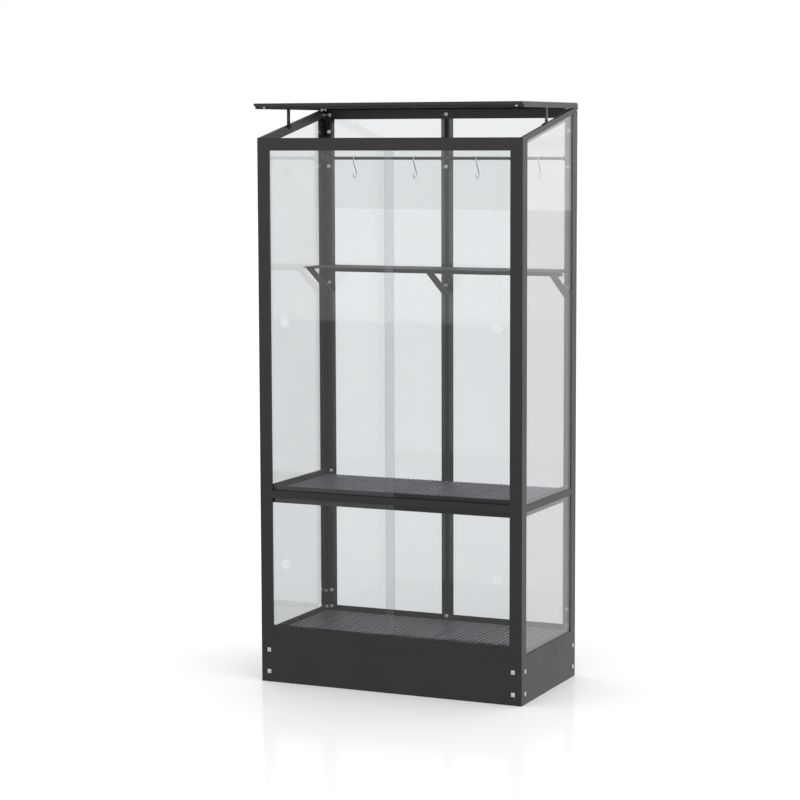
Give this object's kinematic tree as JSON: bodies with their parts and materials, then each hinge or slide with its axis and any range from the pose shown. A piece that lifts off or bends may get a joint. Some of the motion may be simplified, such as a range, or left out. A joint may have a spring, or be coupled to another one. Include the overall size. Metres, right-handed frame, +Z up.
{
  "type": "cold frame",
  "caption": "Tall glazed cold frame cabinet with sliding glass doors, ribbed shelves, a hanging rod with hooks, and a hinged glass lid propped open on stays.",
  "frame": {"origin": "on the floor, under the middle of the object's box", "axes": "+Z up; -Y towards the front, where the sliding doors are; +X to the right seen from the front"},
  "size_m": [0.828, 0.4486, 1.6885],
  "materials": {
    "dark_paint": "satin powder coat",
    "slate_paint": "satin, ribbed",
    "zinc": "zinc plated",
    "bright_steel": "bright",
    "clear_glass": "clear",
    "clear_plastic": "translucent"
  },
  "bodies": {
    "frame": {"pane_lower_left": "clear_glass", "pane_lower_right": "clear_glass", "pane_rear_left": "clear_glass", "pane_rear_right": "clear_glass", "pane_upper_left": "clear_glass", "pane_upper_right": "clear_glass", "plinth_corner_front_left": "zinc", "plinth_corner_front_right": "zinc", "plinth_corner_rear_left": "zinc", "plinth_corner_rear_right": "zinc", "plinth_front": "dark_paint", "plinth_left": "dark_paint", "plinth_rear": "dark_paint", "plinth_right": "dark_paint", "post_front_left": "dark_paint", "post_front_right": "dark_paint", "post_rear_left": "dark_paint", "post_rear_middle": "dark_paint", "post_rear_right": "dark_paint", "rail_bottom_left": "dark_paint", "rail_bottom_right": "dark_paint", "rail_front_middle": "dark_paint", "rail_front_top": "dark_paint", "rail_middle_left": "dark_paint", "rail_middle_right": "dark_paint", "rail_rear_bottom": "dark_paint", "rail_rear_top": "dark_paint", "rail_slope_left": "dark_paint", "rail_slope_right": "dark_paint", "rod": "dark_paint", "rod_bracket_left": "dark_paint", "rod_bracket_middle": "dark_paint", "rod_bracket_right": "dark_paint", "shelf_bracket_left": "dark_paint", "shelf_bracket_middle": "dark_paint", "shelf_bracket_right": "dark_paint", "shelf_middle": "slate_paint", "shelf_narrow": "dark_paint", "sill_front": "dark_paint", "tray_bottom": "slate_paint"},
    "lid": {"lid_front_bar": "dark_paint", "lid_pane": "clear_glass", "lid_rear_bar": "dark_paint", "lid_side_bar_left": "dark_paint", "lid_side_bar_right": "dark_paint"},
    "left_stay": {"stay_left": "dark_paint"},
    "right_stay": {"stay_right": "dark_paint"},
    "upper_left_door": {"door_upper_left": "clear_glass", "disc_upper_left": "clear_plastic"},
    "upper_right_door": {"door_upper_right": "clear_glass", "disc_upper_right": "clear_plastic"},
    "lower_left_door": {"door_lower_left": "clear_glass", "disc_lower_left": "clear_plastic"},
    "lower_right_door": {"door_lower_right": "clear_glass", "disc_lower_right": "clear_plastic"},
    "hanging_hook_1": {"hook_1": "bright_steel"},
    "hanging_hook_2": {"hook_2": "bright_steel"},
    "hanging_hook_3": {"hook_3": "bright_steel"},
    "hanging_hook_4": {"hook_4": "bright_steel"}
  },
  "joints": [
    {"name": "lid_hinge", "type": "hinge", "parent": "frame", "child": "lid", "pos_m": [0, 0.21675, 1.673], "axis": [1, 0, 0], "range_deg": [0, 11]},
    {"name": "stay_left_pivot", "type": "hinge", "parent": "lid", "child": "left_stay", "pos_m": [-0.4056, -0.02225, 1.681], "axis": [1, 0, 0], "range_deg": [-90, 0]},
    {"name": "stay_right_pivot", "type": "hinge", "parent": "lid", "child": "right_stay", "pos_m": [0.4056, -0.02225, 1.681], "axis": [1, 0, 0], "range_deg": [-90, 0]},
    {"name": "door_upper_left_slide", "type": "slide", "parent": "frame", "child": "upper_left_door", "axis": [1, 0, 0], "range_m": [0, 0.375]},
    {"name": "door_upper_right_slide", "type": "slide", "parent": "frame", "child": "upper_right_door", "axis": [1, 0, 0], "range_m": [-0.375, 0]},
    {"name": "door_lower_left_slide", "type": "slide", "parent": "frame", "child": "lower_left_door", "axis": [1, 0, 0], "range_m": [0, 0.375]},
    {"name": "door_lower_right_slide", "type": "slide", "parent": "frame", "child": "lower_right_door", "axis": [1, 0, 0], "range_m": [-0.375, 0]},
    {"name": "hook_1_swing", "type": "hinge", "parent": "frame", "child": "hanging_hook_1", "pos_m": [-0.291, 0.19275, 1.5285], "axis": [1, 0, 0], "range_deg": [-60, 10]},
    {"name": "hook_2_swing", "type": "hinge", "parent": "frame", "child": "hanging_hook_2", "pos_m": [-0.093, 0.19275, 1.5285], "axis": [1, 0, 0], "range_deg": [-60, 10]},
    {"name": "hook_3_swing", "type": "hinge", "parent": "frame", "child": "hanging_hook_3", "pos_m": [0.109, 0.19275, 1.5285], "axis": [1, 0, 0], "range_deg": [-60, 10]},
    {"name": "hook_4_swing", "type": "hinge", "parent": "frame", "child": "hanging_hook_4", "pos_m": [0.304, 0.19275, 1.5285], "axis": [1, 0, 0], "range_deg": [-60, 10]}
  ],
  "couplings": [
    {"joint": "stay_left_pivot", "follows": "lid_hinge", "ratio": -8.1},
    {"joint": "stay_right_pivot", "follows": "lid_hinge", "ratio": -8.1}
  ]
}
